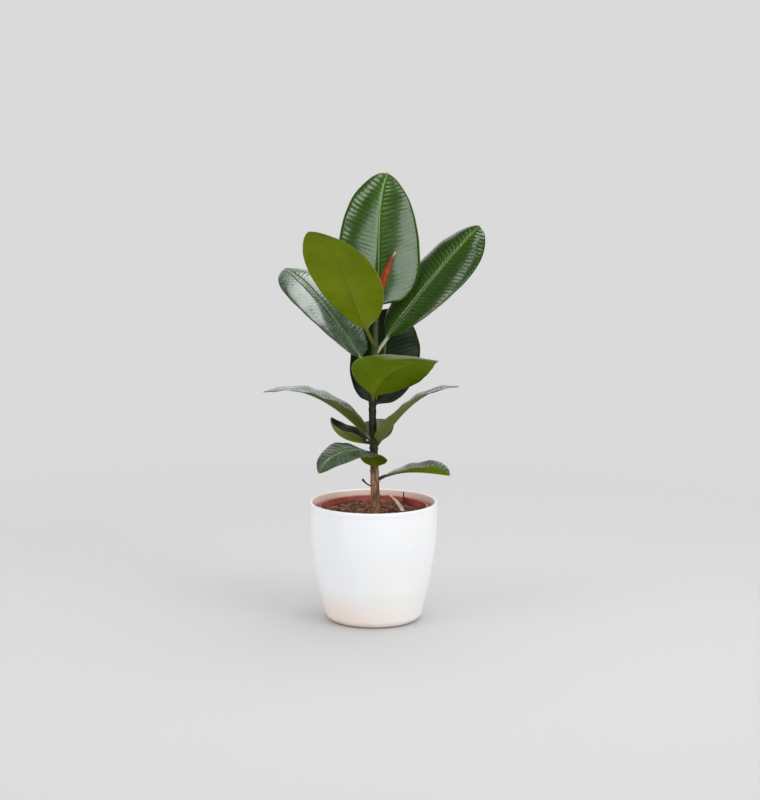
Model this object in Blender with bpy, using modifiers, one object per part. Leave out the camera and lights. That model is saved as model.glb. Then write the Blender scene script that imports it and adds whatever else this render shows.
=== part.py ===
# Potted rubber plant: one stem with twelve leaves, growing in a thin nursery pot
# that stands inside a white cachepot.
#
# Frame: the origin is the centre of the cachepot's base, +Z is up, +X is to the right
# and the plant is looked at along +Y. Sizes below are in millimetres and degrees.

import math

import bmesh
import bpy
import numpy as np
from mathutils import Vector, noise

MM = 0.001
GAP = 0.3                       # air between pieces that touch

# cachepot, a turned shell with a rounded lip
POT_HEIGHT = 140
POT_WALL = 4
POT_FLOOR = 4
POT_BASE_RADIUS = 45
POT_OUTSIDE = [(137.5, 75), (107, 74.3), (80, 71.2), (52, 66.6), (38, 63.9), (25, 60.8)]
POT_CORNER = 11                 # rounding between wall and base
POT_CORNER_RADIUS = 57.4        # where that rounding meets the wall
POT_HOLLOW_RADIUS = 51.4        # inner wall at the top of the rounding
POT_HOLLOW_FLOOR = 47.5
POT_SIDES = 48

# nursery pot, thin and standing on the cachepot's floor
INNER_POT_TOP = 134
INNER_POT_WALL = 1.4
INNER_POT_MOUTH = 62.5
INNER_POT_FOOT = 46
INNER_POT_LIP = 2.5             # how far the rim stands out
INNER_POT_LIP_THICK = 1.2
INNER_POT_LIP_DROP = 8
INNER_POT_LIP_TOP = 2           # solid part of the rim
INNER_POT_EDGE = 0.8            # small bevel of the rim
INNER_POT_SIDES = 40
DRAIN_HOLES = 6
DRAIN_RADIUS = 4
DRAIN_CIRCLE = 30

# soil
SOIL_TOP = 126
SOIL_RINGS = [58, 47, 36, 25, 15]
SOIL_BUMP = 2.2

# stem: height, sideways place and radius
STEM_PATH = [(100, 3.0, 5.7), (125, 2.5, 5.6), (160, 1.6, 5.0), (200, 0.4, 4.5), (235, -1.2, 4.2),
             (270, -1.4, 4.0), (320, 1.5, 3.8), (372, 3.0, 3.4)]
NODE_SWELL = 0.6
NODE_REACH = 2.6
LEAF_SCARS = [134, 145, 190, 232, 272]
STEM_BURIED = [113, 124]        # rings in and at the soil
STEM_RING_GAP = 1.2             # closest that two rings may be

# leaves: bearing 0 points to +X, 90 away from the viewer, 180 to -X and 270 to the viewer;
# pitch is the rise above level. Bearing, pitch, roll and fold are given at the leaf's foot,
# middle and tip. Fold lifts the two halves, and cup bends each of them back down.
LEAVES = {
    "leaf_top": dict(
        height=350, petiole=18, length=157, width=97, bearing=(58, 85, 14), pitch=(70, 82, 70),
        roll=(35, 8, 60), fold=(14, 14, 8), cup=30, tip=0.1, wide=0.32),
    "leaf_upper_front": dict(
        height=322, petiole=22, length=150, width=80, bearing=(210, 224, 214), pitch=(58, 61, 24),
        roll=(42, 26, 22), fold=(50, 16, 5), cup=36, tip=0.1, wide=0.52),
    "leaf_upper_left": dict(
        height=289, petiole=22, length=157, width=74, bearing=(150, 146, 130), pitch=(44, 48, 12),
        roll=(-8, -14, -10), fold=(34, 18, 6), cup=30, tip=0.1, wide=0.6),
    "leaf_upper_right": dict(
        height=311, petiole=25, length=173, width=80, bearing=(16, 20, 22), pitch=(52, 49, 42),
        roll=(16, 24, 26), fold=(28, 14, 6), cup=38, tip=0.1, wide=0.6),
    "leaf_back": dict(
        height=247, petiole=8, length=122, width=84, bearing=(68, 72, 77), pitch=(40, 65, 78),
        roll=(10, 10, 10), fold=(15, 8, 0), cup=28, tip=0.1, wide=0.55),
    "leaf_front": dict(
        height=257, petiole=8, length=114, width=85, bearing=(288, 318, 342), pitch=(62, 28, 0),
        roll=(-25, -27, -14), fold=(26, 6, 4), cup=8, tip=0.5, wide=0.42),
    "leaf_left_long": dict(
        height=210, petiole=12, length=138, width=50, bearing=(186, 182, 178), pitch=(46, 30, -20),
        roll=(0, 0, 0), fold=(46, 22, 0), cup=15, tip=0.4, wide=0.42),
    "leaf_right_long": dict(
        height=202, petiole=8, length=124, width=47, bearing=(338, 350, 355), pitch=(52, 43, -4),
        roll=(0, 0, 0), fold=(40, 20, 0), cup=15, tip=0.4, wide=0.38),
    "leaf_left_small": dict(
        height=209, petiole=8, length=58, width=42, bearing=(165, 165, 165), pitch=(2, 20, 96),
        roll=(0, 0, 0), fold=(40, 40, 20), cup=10, tip=0.3, wide=0.5),
    "leaf_low_front": dict(
        height=175, petiole=5, length=107, width=52, bearing=(276, 214, 200), pitch=(68, 6, -68),
        roll=(0, -10, -24), fold=(12, 4, 6), cup=14, tip=0.4, wide=0.5),
    "leaf_low_right": dict(
        height=163, petiole=14, length=78, width=44, bearing=(350, 350, 350), pitch=(38, 2, -6),
        roll=(0, 0, 0), fold=(8, 26, 52), cup=10, tip=0.2, wide=0.62),
    "leaf_small_back": dict(
        height=203, petiole=8, length=60, width=38, bearing=(80, 84, 88), pitch=(35, 20, 10),
        roll=(0, 0, 0), fold=(15, 10, 5), cup=10, tip=0.3, wide=0.5),
}
LEAF_THICK = 1.0
PETIOLE_RADIUS = 2.3
RIB_END = 0.6                   # midrib's half width at the leaf's tip
PETIOLE_RINGS = 3
BLADE_RINGS = 16
ACROSS = [-1, -0.55, -0.1, 0, 0.1, 0.55, 1]

# bud sheath at the top of the stem, and the small dry things around its foot
SHEATH_PATH = [(3.0, 0.0, 372.6), (3.2, 0.0, 376), (5.4, -0.6, 384), (9.2, -1.4, 394), (14.0, -2.0, 407),
               (19.5, -2.2, 420), (25.5, -2.0, 432)]
SHEATH_RADII = [3.0, 3.8, 4.8, 4.9, 4.0, 2.6, 0.5]
STUB_PATH = [(1.6, 0.0, 156), (-3.6, -1.0, 158), (-9.0, -1.6, 161.5), (-13.0, -2.0, 166)]
STUB_RADII = [1.3, 0.9, 0.9, 1.5]
STRIP_PATH = [(10, 40, 128.6), (14, 34, 138), (18, 29, 141), (25, 16, 138), (31, 4, 132.5), (34, -6, 128.9)]
STRIP_WIDTHS = [1.0, 1.6, 2.4, 4.0, 5.0, 4.6]
STRIP_THICK = 0.9
STICK_PATH = [(36.4, 45.5, 122), (36.0, 45, 133), (35.5, 44.8, 142)]
STICK_RADIUS = 0.8


def clear_scene():
    for thing in list(bpy.data.objects):
        bpy.data.objects.remove(thing, do_unlink=True)


def add_collection(name):
    collection = bpy.data.collections.new(name)
    bpy.context.scene.collection.children.link(collection)
    return collection


clear_scene()
PLANT = add_collection("potted_rubber_plant")
CUTTERS = add_collection("cutters")


def paint(name, colour, roughness, coat=0.0):
    material = bpy.data.materials.new(name)
    material.use_nodes = True
    shader = material.node_tree.nodes["Principled BSDF"]
    shader.inputs["Base Color"].default_value = (*colour, 1)
    shader.inputs["Roughness"].default_value = roughness
    shader.inputs["Metallic"].default_value = 0.0
    shader.inputs["Coat Weight"].default_value = coat
    material.diffuse_color = (*colour, 1)
    return material


GLAZE = paint("white_glaze", (0.80, 0.81, 0.83), 0.25, 0.3)
RED_PLASTIC = paint("red_brown_plastic", (0.13, 0.025, 0.02), 0.5)
SOIL = paint("potting_soil", (0.09, 0.045, 0.028), 0.95)
BARK = paint("brown_bark", (0.14, 0.08, 0.05), 0.8)
LEAF = paint("leaf_green", (0.035, 0.09, 0.02), 0.3, 0.4)
SHEATH = paint("orange_red_sheath", (0.42, 0.08, 0.03), 0.4, 0.2)
DRY = paint("dry_husk", (0.42, 0.33, 0.28), 0.85)


def add_object(name, mesh, material=None):
    thing = bpy.data.objects.new(name, mesh)
    PLANT.objects.link(thing)
    if material:
        thing.data.materials.append(material)
    return thing


def make_cutter(thing):
    for owner in list(thing.users_collection):
        owner.objects.unlink(thing)
    CUTTERS.objects.link(thing)
    thing.hide_render = True
    thing.display_type = "WIRE"
    return thing


def boolean(thing, cutter, operation="DIFFERENCE"):
    step = thing.modifiers.new(cutter.name, "BOOLEAN")
    step.operation = operation
    step.object = cutter


def mesh_from_points(name, points, faces):
    mesh = bpy.data.meshes.new(name)
    mesh.from_pydata([Vector(point) * MM for point in points], [], faces)
    shape = bmesh.new()
    shape.from_mesh(mesh)
    bmesh.ops.recalc_face_normals(shape, faces=shape.faces)
    shape.to_mesh(mesh)
    shape.free()
    mesh.shade_smooth()
    mesh.set_sharp_from_angle(angle=math.radians(40))
    return mesh


def arc(centre_x, centre_z, radius, start, end, count):
    turns = np.radians(np.linspace(start, end, count))
    return [(centre_x + radius * math.cos(a), centre_z + radius * math.sin(a)) for a in turns]


def turned(name, profile, sides, material):
    """Turn a profile of (radius, height) points, which runs down the outer side."""
    mesh = bpy.data.meshes.new(name)
    points = [(x * MM, 0, z * MM) for x, z in profile]
    mesh.from_pydata(points, [(i, i + 1) for i in range(len(points) - 1)], [])
    thing = add_object(name, mesh, material)
    spin = thing.modifiers.new("turn", "SCREW")
    spin.steps = spin.render_steps = sides
    spin.use_merge_vertices = True
    spin.merge_threshold = 0.00005
    spin.use_smooth_shade = True
    return thing


def tube(name, path, radii, material, sides_level=3):
    """A capped tube through the path's points, as a closed mesh."""
    curve = bpy.data.curves.new(name, "CURVE")
    curve.dimensions = "3D"
    curve.bevel_depth = MM
    curve.bevel_resolution = sides_level
    curve.use_fill_caps = True
    spline = curve.splines.new("POLY")
    spline.points.add(len(path) - 1)
    for point, place, radius in zip(spline.points, path, radii):
        point.co = (*(Vector(place) * MM), 1)
        point.radius = radius
    wire = bpy.data.objects.new(name + "_wire", curve)
    CUTTERS.objects.link(wire)
    graph = bpy.context.evaluated_depsgraph_get()
    mesh = bpy.data.meshes.new_from_object(wire.evaluated_get(graph))
    bpy.data.objects.remove(wire, do_unlink=True)
    shape = bmesh.new()
    shape.from_mesh(mesh)
    bmesh.ops.remove_doubles(shape, verts=shape.verts, dist=0.00001)
    bmesh.ops.recalc_face_normals(shape, faces=shape.faces)
    shape.to_mesh(mesh)
    shape.free()
    mesh.materials.clear()
    mesh.shade_smooth()
    mesh.set_sharp_from_angle(angle=math.radians(50))
    mesh.name = name
    return add_object(name, mesh, material)


def smooth_path(path, values, count):
    """More points along a path, on a Catmull-Rom curve, with their values."""
    rows = np.array([[*place, value] for place, value in zip(path, values)], float)
    rows = np.vstack([2 * rows[0] - rows[1], rows, 2 * rows[-1] - rows[-2]])
    result = []
    for share in np.linspace(0, len(path) - 1, count):
        i = min(int(share), len(path) - 2)
        t = share - i
        a, b, c, d = rows[i:i + 4]
        result.append(0.5 * (2 * b + (c - a) * t + (2 * a - 5 * b + 4 * c - d) * t ** 2
                             + (3 * b - a - 3 * c + d) * t ** 3))
    return [row[:3] for row in result], [max(row[3], 0.3) for row in result]


# The pots and the soil in them.

def cachepot():
    lip = POT_WALL / 2
    rim = arc(POT_OUTSIDE[0][1] - lip, POT_HEIGHT - lip, lip, 180, 0, 7)
    wall = [(radius, height) for height, radius in POT_OUTSIDE[1:]]
    corner = arc(POT_CORNER_RADIUS - POT_CORNER, POT_CORNER, POT_CORNER, -5, -85, 6)
    inside = [(radius - POT_WALL, height) for radius, height in reversed(wall)]
    floor = [(0, POT_FLOOR), (POT_HOLLOW_FLOOR, POT_FLOOR), (POT_HOLLOW_RADIUS, POT_CORNER)]
    profile = [*floor, *inside, *rim, *wall, *corner, (POT_BASE_RADIUS, 0), (0, 0)]
    return turned("cachepot", profile, POT_SIDES, GLAZE)


def inner_wall_radius(height):
    """Outer radius of the nursery pot's wall."""
    foot_height = POT_FLOOR + GAP
    share = (height - foot_height) / (INNER_POT_TOP - foot_height)
    return INNER_POT_FOOT + (INNER_POT_MOUTH - INNER_POT_FOOT) * share


def nursery_pot():
    foot = POT_FLOOR + GAP
    top = INNER_POT_TOP
    wall = INNER_POT_WALL
    floor = foot + wall
    mouth = inner_wall_radius(top)
    out = mouth + INNER_POT_LIP
    edge = INNER_POT_EDGE
    inner = [(0, floor), (inner_wall_radius(floor) - wall, floor), (mouth - wall, top - edge)]
    lip = [(mouth - edge, top), (out - edge, top), (out, top - edge), (out, top - INNER_POT_LIP_DROP),
           (out - INNER_POT_LIP_THICK, top - INNER_POT_LIP_DROP)]
    under_top = top - INNER_POT_LIP_TOP
    under = [(out - INNER_POT_LIP_THICK, under_top), (inner_wall_radius(under_top), under_top)]
    outer = [(inner_wall_radius(foot + wall), foot + wall), (INNER_POT_FOOT - wall, foot), (0, foot)]
    pot = turned("nursery_pot", [*inner, *lip, *under, *outer], INNER_POT_SIDES, RED_PLASTIC)
    for number in range(DRAIN_HOLES):
        turn = 2 * math.pi * number / DRAIN_HOLES
        shape = bmesh.new()
        bmesh.ops.create_cone(shape, cap_ends=True, segments=12, radius1=DRAIN_RADIUS * MM,
                              radius2=DRAIN_RADIUS * MM, depth=8 * MM)
        mesh = bpy.data.meshes.new(f"drain_{number}")
        shape.to_mesh(mesh)
        shape.free()
        hole = make_cutter(add_object(f"drain_{number}", mesh))
        hole.location = (DRAIN_CIRCLE * MM * math.cos(turn), DRAIN_CIRCLE * MM * math.sin(turn), foot * MM)
        boolean(pot, hole)
    return pot


def soil_height(x, y):
    """Uneven surface, a little higher at the left and along the wall."""
    away = math.hypot(x, y) / SOIL_RINGS[0]
    lumps = noise.noise(Vector((x / 17, y / 17, 0.4))) + 0.5 * noise.noise(Vector((x / 7, y / 7, 2.6)))
    return SOIL_TOP + SOIL_BUMP * lumps + 1.2 * away ** 2 - 0.02 * x


def soil(cutters):
    floor = POT_FLOOR + GAP + INNER_POT_WALL + GAP
    clear = INNER_POT_WALL + GAP
    edge = inner_wall_radius(SOIL_TOP) - clear
    foot = inner_wall_radius(floor) - clear - 0.2
    profile = [(0, SOIL_TOP), *[(r, SOIL_TOP) for r in reversed(SOIL_RINGS)],
               (edge, SOIL_TOP), (foot, floor), (0, floor)]
    draft = turned("soil_draft", profile, 36, SOIL)
    graph = bpy.context.evaluated_depsgraph_get()
    mesh = bpy.data.meshes.new_from_object(draft.evaluated_get(graph))
    bpy.data.objects.remove(draft, do_unlink=True)
    for vertex in mesh.vertices:
        x, y, z = vertex.co / MM
        if z > SOIL_TOP - 1 and math.hypot(x, y) < edge - 0.5:
            vertex.co.z = soil_height(x, y) * MM
    mesh.name = "soil"
    body = add_object("soil", mesh)
    for cutter in cutters:
        boolean(body, cutter)
    return body


# The stem, thicker where a leaf stands or stood.

def stem_row(height):
    rows = np.array(STEM_PATH, float)
    return [float(np.interp(height, rows[:, 0], rows[:, column])) for column in (1, 2)]


def stem_centre(height):
    return np.array([stem_row(height)[0], 0.0, height])


def node_heights():
    return [spec["height"] for spec in LEAVES.values()] + LEAF_SCARS


def stem_radius(height):
    near = min(abs(height - node) for node in node_heights())
    return stem_row(height)[1] + NODE_SWELL * max(0.0, 1 - near / NODE_REACH)


def stem(name, extra=0.0):
    bottom, top = STEM_PATH[0][0], STEM_PATH[-1][0]
    heights = {bottom, top, *STEM_BURIED}
    for node in node_heights():
        heights.update((node - NODE_REACH, node, node + NODE_REACH))
    heights = sorted(height for height in heights if bottom <= height <= top)
    spaced = [heights[0]] + [b for a, b in zip(heights, heights[1:]) if b - a > STEM_RING_GAP]
    path = [stem_centre(height) for height in spaced]
    radii = [stem_radius(height) + extra for height in spaced]
    path[0] = path[0] - (0, 0, extra)
    path[-1] = path[-1] + (0, 0, extra)
    return tube(name, path, radii, BARK)


# The leaves.

def between(values, share):
    """The smooth curve through three values at shares 0, 0.5 and 1."""
    first, middle, last = values
    return (first * (1 - share) * (1 - 2 * share) + 4 * middle * share * (1 - share)
            + last * share * (2 * share - 1))


def leaf_line(leaf, steps=80):
    """Centre line with the directions across the blade and out of its upper face."""
    share = np.linspace(0, 1, steps + 1)
    bearing, pitch, roll = [np.radians(between(leaf[key], share)) for key in ("bearing", "pitch", "roll")]
    along = np.stack([np.cos(pitch) * np.cos(bearing), np.cos(pitch) * np.sin(bearing), np.sin(pitch)], 1)
    level = np.stack([-np.sin(bearing), np.cos(bearing), 0 * bearing], 1)
    above = np.cross(along, level)
    side = level * np.cos(roll)[:, None] + above * np.sin(roll)[:, None]
    up = above * np.cos(roll)[:, None] - level * np.sin(roll)[:, None]
    step = (leaf["petiole"] + leaf["length"]) / steps
    moves = np.vstack([[0, 0, 0], (along[1:] + along[:-1]) / 2 * step])
    return share, stem_centre(leaf["height"]) + np.cumsum(moves, 0), side, up


def half_width(leaf, share):
    """Half the blade's width: two half ellipses that meet at its widest place, drawn in at the tip."""
    wide = leaf["wide"]
    reach = np.where(share < wide, (wide - share) / wide, (share - wide) / (1 - wide))
    taper = 1 - leaf["tip"] * np.clip((share - 0.8) / 0.2, 0, 1) ** 1.5
    return leaf["width"] / 2 * np.sqrt(np.clip(1 - reach ** 2, 0, 1)) * taper


def leaf_ring(leaf, place, side, up, blade, along_share):
    """Section of the leaf: its upper face from left to right, then its lower face back."""
    blend = min(1.0, max(0.0, blade) / 0.06)
    blend = blend * blend * (3 - 2 * blend)
    rib = PETIOLE_RADIUS + (RIB_END - PETIOLE_RADIUS) * max(0.0, along_share)
    half = max(float(half_width(leaf, np.array(max(blade, 0.0)))), 1.6)
    fold = math.radians(between(leaf["fold"], max(blade, 0.0)))
    cup = math.radians(leaf["cup"])
    upper, lower = [], []
    for number, share in enumerate(ACROSS):
        turn = math.radians(167 - 154 * number / (len(ACROSS) - 1))
        reach = abs(share)
        tilt = fold - cup * reach
        out = half * (math.sin(fold) - math.sin(tilt)) / cup
        lift = half * (math.cos(tilt) - math.cos(fold)) / cup
        sign = math.copysign(1, share)
        middle = side * (sign * out) + up * lift
        face = up * math.cos(tilt) - side * (sign * math.sin(tilt) if share else 0)
        thick = LEAF_THICK / 2 * (0.6 if reach == 1 else 1)
        ridge = thick + (rib if share == 0 else 0)
        round_up = side * rib * math.cos(turn) + up * rib * math.sin(turn)
        round_down = side * rib * math.cos(turn) - up * rib * math.sin(turn)
        upper.append(place + round_up * (1 - blend) + (middle + face * thick) * blend)
        lower.append(place + round_down * (1 - blend) + (middle - face * ridge) * blend)
    return upper + lower[::-1]


def leaf(name, spec, stem_cutter):
    share, places, sides, ups = leaf_line(spec)
    foot = spec["petiole"] / (spec["petiole"] + spec["length"])
    steps = np.linspace(0, 1, BLADE_RINGS)
    blade_shares = 0.3 * steps + 0.35 * (1 - np.cos(math.pi * steps))
    shares = [foot * i / PETIOLE_RINGS for i in range(PETIOLE_RINGS)]
    shares += [foot + (1 - foot) * b for b in blade_shares]
    points = []
    for value in shares:
        place, side, up = [np.array([np.interp(value, share, rows[:, i]) for i in range(3)])
                           for rows in (places, sides, ups)]
        points += leaf_ring(spec, place, side, up, (value - foot) / (1 - foot), value)
    ring = 2 * len(ACROSS)
    faces = [[k * ring + i, k * ring + (i + 1) % ring, (k + 1) * ring + (i + 1) % ring, (k + 1) * ring + i]
             for k in range(len(shares) - 1) for i in range(ring)]
    faces += [list(range(ring)), list(range(len(points) - ring, len(points)))]
    blade = add_object(name, mesh_from_points(name, points, faces), LEAF)
    boolean(blade, stem_cutter)
    return blade


# The small pieces.

def fallen_strip():
    path, widths = smooth_path(STRIP_PATH, STRIP_WIDTHS, 14)
    points, faces = [], []
    for number, (place, width) in enumerate(zip(path, widths)):
        ahead = path[min(number + 1, len(path) - 1)] - path[max(number - 1, 0)]
        across = np.cross(ahead, (0, 0, 1))
        across = across / np.linalg.norm(across)
        over = np.cross(across, ahead)
        over = over / np.linalg.norm(over)
        for side, face in ((-1, -1), (1, -1), (1, 1), (-1, 1)):
            points.append(place + across * side * width / 2 + over * face * STRIP_THICK / 2)
    last = len(path) - 1
    for k in range(last):
        faces += [[4 * k + i, 4 * k + (i + 1) % 4, 4 * k + 4 + (i + 1) % 4, 4 * k + 4 + i] for i in range(4)]
    faces += [[0, 1, 2, 3], [4 * last + i for i in range(4)]]
    return add_object("dry_strip", mesh_from_points("dry_strip", points, faces), DRY)


def small_pieces(stem_cutter):
    path, radii = smooth_path(SHEATH_PATH, SHEATH_RADII, 14)
    tube("bud_sheath", path, radii, SHEATH, 2)
    path, radii = smooth_path(STUB_PATH, STUB_RADII, 8)
    stub = tube("twig_stub", path, radii, BARK, 1)
    boolean(stub, stem_cutter)
    fallen_strip()


def stick(name, extra=0.0):
    path = [Vector(place) for place in STICK_PATH]
    path[0].z -= extra
    return tube(name, path, [STICK_RADIUS + extra] * len(path), BARK, 1)


def build():
    stem("stem")
    stick("soil_stick")
    stem_cutter = make_cutter(stem("stem_cutter", GAP))
    stick_cutter = make_cutter(stick("stick_cutter", GAP))
    cachepot()
    nursery_pot()
    soil([stem_cutter, stick_cutter])
    for name, spec in LEAVES.items():
        leaf(name, spec, stem_cutter)
    small_pieces(stem_cutter)


build()
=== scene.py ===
import math
import random

import bpy
import numpy as np
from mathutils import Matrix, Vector, noise


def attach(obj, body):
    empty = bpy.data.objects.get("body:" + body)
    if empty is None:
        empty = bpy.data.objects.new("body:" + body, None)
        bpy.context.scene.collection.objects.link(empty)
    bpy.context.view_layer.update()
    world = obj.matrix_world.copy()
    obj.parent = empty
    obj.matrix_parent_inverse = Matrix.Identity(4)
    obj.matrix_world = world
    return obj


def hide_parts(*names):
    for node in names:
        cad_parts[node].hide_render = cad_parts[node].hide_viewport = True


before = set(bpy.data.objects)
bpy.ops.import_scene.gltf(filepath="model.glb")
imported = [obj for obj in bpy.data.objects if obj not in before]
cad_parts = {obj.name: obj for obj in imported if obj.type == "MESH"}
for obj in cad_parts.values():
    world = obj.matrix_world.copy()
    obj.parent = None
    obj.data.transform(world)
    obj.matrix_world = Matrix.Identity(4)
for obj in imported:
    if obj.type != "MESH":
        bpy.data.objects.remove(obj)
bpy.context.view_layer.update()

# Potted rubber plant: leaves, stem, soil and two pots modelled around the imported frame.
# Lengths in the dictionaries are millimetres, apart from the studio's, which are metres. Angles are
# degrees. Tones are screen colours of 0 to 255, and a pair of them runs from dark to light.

mm = 0.001
body = "root"
smoothBelow = 40         # edges of the pots that bend less than this are shaded smooth
print("frame loaded:", len(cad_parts), "CAD nodes")


def setMode(mode):
    bpy.ops.object.mode_set(mode=mode)


def deselectAll():
    bpy.ops.object.select_all(action="DESELECT")


def selectAll():
    bpy.ops.mesh.select_all(action="SELECT")


def lumpy(x, y, z):
    return noise.noise(Vector((x, y, z)))


def workOn(thing):
    deselectAll()
    thing.select_set(True)
    bpy.context.view_layer.objects.active = thing


def finishPiece(thing, name, material, replaced):
    # a leaf brings its own two materials, and loose bits replace no CAD node
    workOn(thing)
    bpy.ops.object.transform_apply(location=True, rotation=True, scale=True)
    thing.name = thing.data.name = name
    if material:
        thing.data.materials.append(material)
    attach(thing, body)
    if replaced:
        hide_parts(replaced)


def paint(tone, strength=1.0):
    # a tone as the renderer's linear colour
    return tuple(((v / 255 + 0.055) / 1.055) ** 2.4 * strength if v > 10 else v / 3295 * strength
                 for v in tone)


def smoothStep(low, high, value):
    t = np.clip((value - low) / (high - low), 0, 1)
    return t * t * (3 - 2 * t)


def closeTube(thing):
    # joins the rolled grid's seam, caps its ends and turns its faces outwards
    workOn(thing)
    setMode("EDIT")
    bpy.ops.mesh.select_mode(type="VERT")
    selectAll()
    bpy.ops.mesh.remove_doubles(threshold=0.000002)
    selectAll()
    bpy.ops.mesh.fill_holes(sides=0)
    selectAll()
    bpy.ops.mesh.normals_make_consistent(inside=False)
    setMode("OBJECT")
    bpy.ops.object.shade_smooth()


def flatGrid(rows, columns):
    # a grid primitive, with each vertex's share along the piece and around it
    deselectAll()
    bpy.ops.mesh.primitive_grid_add(x_subdivisions=rows, y_subdivisions=columns, size=1)
    thing = bpy.context.object
    flat = np.empty(len(thing.data.vertices) * 3)
    thing.data.vertices.foreach_get("co", flat)
    flat = flat.reshape(-1, 3) + 0.5
    return thing, flat[:, 0], flat[:, 1]


def wrapAround(thing, points):
    # rolls the flat grid up: its columns go round the piece and its rows along it
    thing.data.vertices.foreach_set("co", points.ravel())
    thing.data.update()
    closeTube(thing)


def wrapGrid(form, place):
    thing, along, around = flatGrid(form["rows"], form["columns"])
    wrapAround(thing, place(along, around))
    return thing


def turnedPiece(name, rings, sides):
    # a filled circle, extruded and scaled ring by ring as on a lathe
    deselectAll()
    radius, height = rings[0]
    bpy.ops.mesh.primitive_circle_add(vertices=sides, radius=radius * mm, fill_type="NGON",
                                      location=(0, 0, height * mm))
    thing = bpy.context.object
    bpy.ops.object.transform_apply(location=True)
    setMode("EDIT")
    bpy.ops.mesh.select_mode(type="FACE")
    selectAll()
    for nextRadius, nextHeight in rings[1:]:
        rise = (nextHeight - height) * mm
        bpy.ops.mesh.extrude_region_move(TRANSFORM_OT_translate={"value": (0, 0, rise)})
        scale = nextRadius / radius
        bpy.ops.transform.resize(value=(scale, scale, 1), center_override=(0, 0, nextHeight * mm))
        radius, height = nextRadius, nextHeight
    selectAll()
    bpy.ops.mesh.normals_make_consistent(inside=False)
    setMode("OBJECT")
    thing.name = name
    return thing


def arcPoints(centre, height, radius, start, end, count):
    return [(centre + radius * math.cos(math.radians(a)), height + radius * math.sin(math.radians(a)))
            for a in np.linspace(start, end, count)]


def smoothPath(path, count):
    # more points on a Catmull-Rom curve through the path's rows
    rows = np.array(path, float)
    rows = np.vstack([2 * rows[0] - rows[1], rows, 2 * rows[-1] - rows[-2]])
    result = []
    for share in np.linspace(0, len(path) - 1, count):
        i = min(int(share), len(path) - 2)
        t = share - i
        a, b, c, d = rows[i:i + 4]
        result.append(0.5 * (2 * b + (c - a) * t + (2 * a - 5 * b + 4 * c - d) * t ** 2
                             + (3 * b - a - 3 * c + d) * t ** 3))
    return np.array(result)


def pathRows(path, sizes, level, count=200):
    # a smooth path with a size at each place, and the directions across it and over it
    rows = smoothPath([(*place, size) for place, size in zip(path, sizes)], count)
    ahead = np.gradient(rows[:, :3], axis=0)
    ahead /= np.linalg.norm(ahead, axis=1)[:, None]
    side = np.cross(ahead, level)
    side /= np.linalg.norm(side, axis=1)[:, None]
    shares = np.linspace(0, 1, count)

    def spread(along, part):
        return np.stack([np.interp(along, shares, part[:, i]) for i in range(3)], 1)

    def at(along):
        return (spread(along, rows[:, :3]), spread(along, side), spread(along, np.cross(side, ahead)),
                np.interp(along, shares, rows[:, 3]))

    return at


class Nodes:
    # a material's node tree, with short calls for the nodes used here
    def __init__(self, name):
        self.material = bpy.data.materials.new(name)
        self.material.use_nodes = True
        self.tree = self.material.node_tree
        self.shader = self.tree.nodes["Principled BSDF"]

    def node(self, kind, **settings):
        made = self.tree.nodes.new(kind)
        for key, value in settings.items():
            setattr(made, key, value)
        return made

    def feed(self, socket, value):
        if isinstance(value, bpy.types.NodeSocket):
            self.tree.links.new(value, socket)
        elif isinstance(value, (tuple, list)) and len(value) == 3 and socket.type == "RGBA":
            socket.default_value = (*value, 1)
        else:
            socket.default_value = value

    def coordinates(self, scale=(1, 1, 1)):
        place = self.node("ShaderNodeTexCoord").outputs["Object"]
        if tuple(scale) == (1, 1, 1):
            return place
        mapping = self.node("ShaderNodeMapping")
        self.feed(mapping.inputs["Vector"], place)
        mapping.inputs["Scale"].default_value = scale
        return mapping.outputs["Vector"]

    def axes(self, vector):
        made = self.node("ShaderNodeSeparateXYZ")
        self.feed(made.inputs[0], vector)
        return made.outputs

    def length(self, vector):
        made = self.node("ShaderNodeVectorMath", operation="LENGTH")
        self.feed(made.inputs[0], vector)
        return made.outputs["Value"]

    def attribute(self, name):
        return self.axes(self.node("ShaderNodeAttribute", attribute_name=name).outputs["Vector"])

    def math(self, operation, a, b=0.0):
        made = self.node("ShaderNodeMath", operation=operation)
        for socket, value in zip(made.inputs, (a, b)):
            self.feed(socket, value)
        return made.outputs[0]

    def ease(self, value, low, high, start=0.0, end=1.0):
        made = self.node("ShaderNodeMapRange", interpolation_type="SMOOTHSTEP")
        for socket, number in zip(made.inputs, (value, low, high, start, end)):
            self.feed(socket, number)
        return made.outputs[0]

    def noise(self, place, scale, detail=3.0, roughness=0.55, distortion=0.0):
        made = self.node("ShaderNodeTexNoise")
        for key, value in (("Vector", place), ("Scale", scale), ("Detail", detail),
                           ("Roughness", roughness), ("Distortion", distortion)):
            self.feed(made.inputs[key], value)
        return made.outputs["Fac"]

    def blend(self, share, first, second):
        made = self.node("ShaderNodeMix", data_type="RGBA")
        for number, value in ((0, share), (6, first), (7, second)):
            self.feed(made.inputs[number], value)
        return made.outputs[2]

    def mottle(self, tones, value, low, high):
        # dark where the value is low, light where it is high
        return self.blend(self.ease(value, low, high), paint(tones[0]), paint(tones[1]))

    def tint(self, base, tone, value, low, high, start=0.0, end=1.0):
        # the tone over the base: its share goes from start at the low value to end at the high one
        return self.blend(self.ease(value, low, high, start, end), base, paint(tone))

    def bump(self, height, strength, distance):
        made = self.node("ShaderNodeBump")
        for key, value in (("Height", height), ("Strength", strength), ("Distance", distance)):
            self.feed(made.inputs[key], value)
        return made.outputs["Normal"]

    def surface(self, **values):
        for key, value in values.items():
            self.feed(self.shader.inputs[key.replace("_", " ")], value)
        return self.material


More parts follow.
